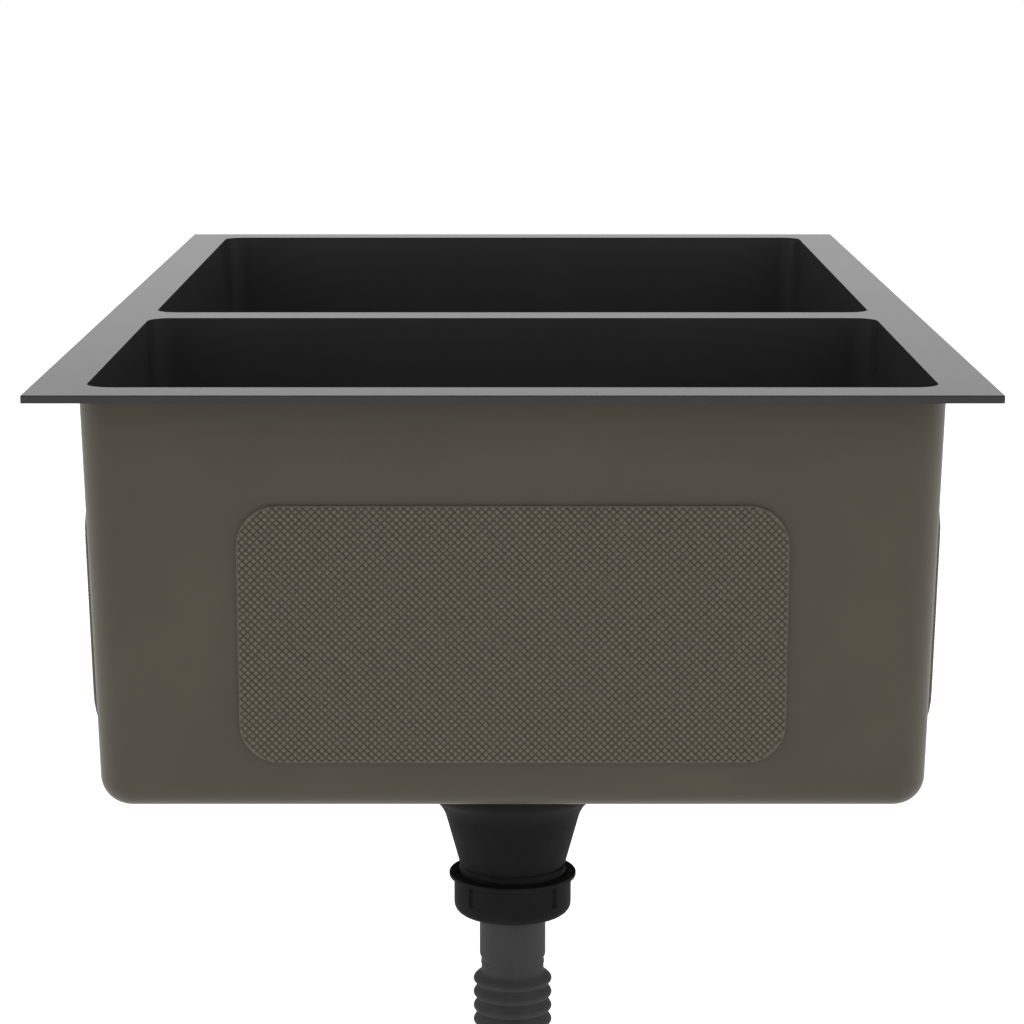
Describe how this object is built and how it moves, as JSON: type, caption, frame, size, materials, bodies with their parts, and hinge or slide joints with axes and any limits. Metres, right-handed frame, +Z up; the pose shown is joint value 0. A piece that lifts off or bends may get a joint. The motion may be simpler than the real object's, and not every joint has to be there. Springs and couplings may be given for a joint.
{
  "type": "double bowl kitchen sink",
  "caption": "Drop-in double bowl kitchen sink with straight-sided bowls of unequal length, padded walls, lift-out strainer baskets and ribbed waste hoses below.",
  "frame": {"origin": "middle of the rim, on the plane where the rim rests on the worktop (mount rim_seat)", "axes": "+X along the sink towards the small bowl, +Y across it, +Z up, out of the bowls"},
  "size_m": [0.75, 0.44, 0.5751],
  "materials": {
    "black_coated_steel": "satin black coating on steel sheet",
    "undercoat": "sprayed sound-deadening coat, matt grey-brown",
    "sound_pad": "matt pad with a cross-hatched face",
    "rubber_seal": "black rubber or foam",
    "black_plastic": "moulded plastic",
    "hose_plastic": "flexible dark grey plastic",
    "brass": "plain",
    "plain_steel": "plain"
  },
  "bodies": {
    "sink": {"rim_panel": "black_coated_steel", "rim_seal": "rubber_seal", "small_bowl": "black_coated_steel", "small_undercoat": "undercoat", "small_right_pad": "sound_pad", "small_left_pad": "sound_pad", "small_end_pad": "sound_pad", "small_strainer_cup": "black_coated_steel", "small_upper_gasket": "rubber_seal", "small_lower_gasket": "rubber_seal", "small_drain_housing": "black_plastic", "small_threaded_insert": "brass", "small_clamping_bolt": "plain_steel", "small_collar_nut": "black_plastic", "small_hose_washer": "rubber_seal", "small_hose": "hose_plastic", "small_end_fitting": "black_plastic", "large_bowl": "black_coated_steel", "large_undercoat": "undercoat", "large_right_pad": "sound_pad", "large_left_pad": "sound_pad", "large_end_pad": "sound_pad", "large_strainer_cup": "black_coated_steel", "large_upper_gasket": "rubber_seal", "large_lower_gasket": "rubber_seal", "large_drain_housing": "black_plastic", "large_threaded_insert": "brass", "large_clamping_bolt": "plain_steel", "large_collar_nut": "black_plastic", "large_hose_washer": "rubber_seal", "large_hose": "hose_plastic", "large_end_fitting": "black_plastic"},
    "small_basket": {"small_basket": "black_coated_steel", "small_basket_post": "black_coated_steel", "small_basket_stopper": "rubber_seal"},
    "large_basket": {"large_basket": "black_coated_steel", "large_basket_post": "black_coated_steel", "large_basket_stopper": "rubber_seal"}
  },
  "joints": [
    {"name": "small_basket_lift", "type": "slide", "parent": "sink", "child": "small_basket", "axis": [0, 0, 1], "range_m": [0, 0.26]},
    {"name": "large_basket_lift", "type": "slide", "parent": "sink", "child": "large_basket", "axis": [0, 0, 1], "range_m": [0, 0.26]}
  ]
}
